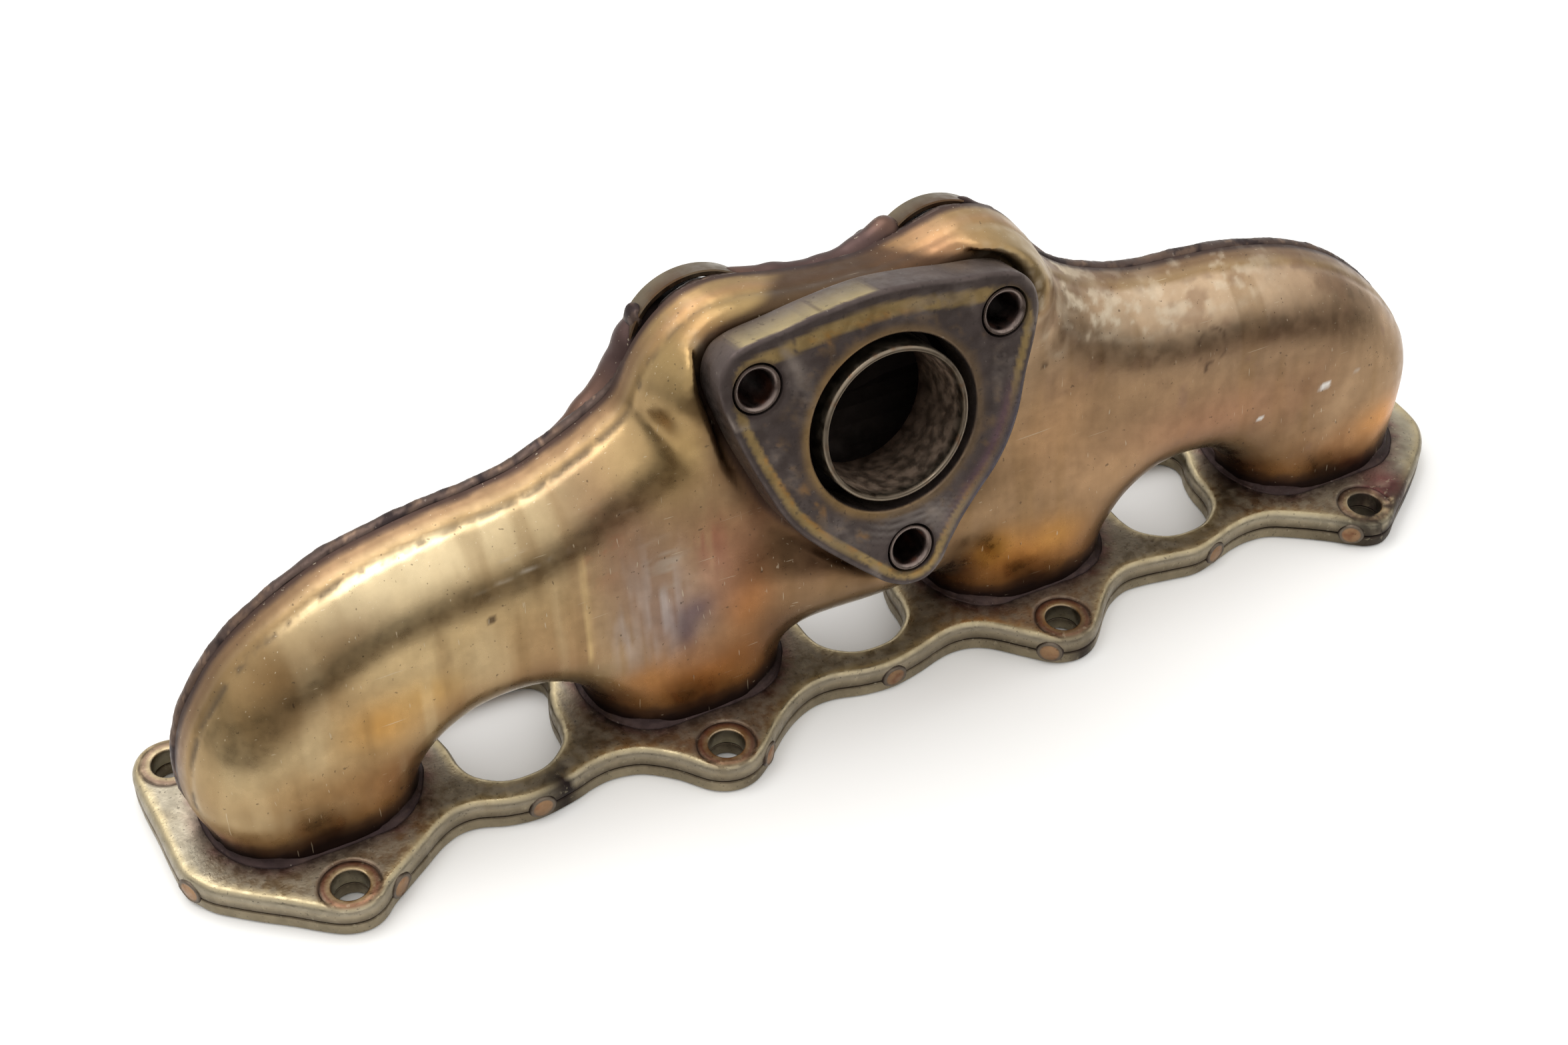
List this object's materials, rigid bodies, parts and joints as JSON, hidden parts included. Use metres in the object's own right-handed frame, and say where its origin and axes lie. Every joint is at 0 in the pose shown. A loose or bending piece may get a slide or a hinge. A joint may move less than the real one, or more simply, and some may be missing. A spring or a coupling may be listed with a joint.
{
  "type": "exhaust manifold",
  "caption": "Fabricated air-gap exhaust manifold: laminated head flange, two stamped half shells round slip-fitted inner pipes, tilted outlet flange",
  "frame": {"origin": "centre of the bounding box on the head face, the flat underside of the lower flange plate", "axes": "+X along the port row, from the port at the round-ended side to the other end; +Y away from the outlet flange; +Z out of the head face towards the stamped body"},
  "size_m": [0.3738, 0.0796, 0.1203],
  "materials": {
    "flange_steel": "heat-tempered satin, olive grey with straw-gold edges",
    "shell_steel": "heat-tempered stamped sheet, straw gold to bronze, brown, purple and blue",
    "outlet_steel": "dark purple-grey heat oxide with ochre borders",
    "sleeve_steel": "dark oxidised tube with rust",
    "inner_pipe_steel": "olive-tan heat-tinted tube, sooty inside",
    "hoop_steel": "olive-grey pressed strip with a brown cut edge",
    "weld_bead": "rough dark weld with heat tint",
    "plug_weld": "copper-brown oxidised weld button"
  },
  "bodies": {
    "root": {"upper_plate": "flange_steel", "lower_plate": "flange_steel", "front_shell": "shell_steel", "rear_shell": "shell_steel", "outlet_flange": "outlet_steel", "outlet_sleeve_1": "sleeve_steel", "outlet_sleeve_2": "sleeve_steel", "outlet_sleeve_3": "sleeve_steel", "outlet_liner": "inner_pipe_steel", "rear_hoop_left": "hoop_steel", "rear_hoop_right": "hoop_steel", "inner_runner_1": "inner_pipe_steel", "inner_runner_2": "inner_pipe_steel", "inner_runner_3": "inner_pipe_steel", "inner_runner_4": "inner_pipe_steel", "inner_collector": "inner_pipe_steel", "port_weld_1": "weld_bead", "port_weld_2": "weld_bead", "port_weld_3": "weld_bead", "port_weld_4": "weld_bead", "seam_weld": "weld_bead", "edge_weld_1": "plug_weld", "edge_weld_2": "plug_weld", "edge_weld_3": "plug_weld", "edge_weld_4": "plug_weld", "edge_weld_5": "plug_weld", "edge_weld_6": "plug_weld", "edge_weld_7": "plug_weld", "edge_weld_8": "plug_weld", "edge_weld_9": "plug_weld", "edge_weld_10": "plug_weld", "edge_weld_11": "plug_weld", "edge_weld_12": "plug_weld", "edge_weld_13": "plug_weld", "edge_weld_14": "plug_weld"}
  },
  "joints": []
}
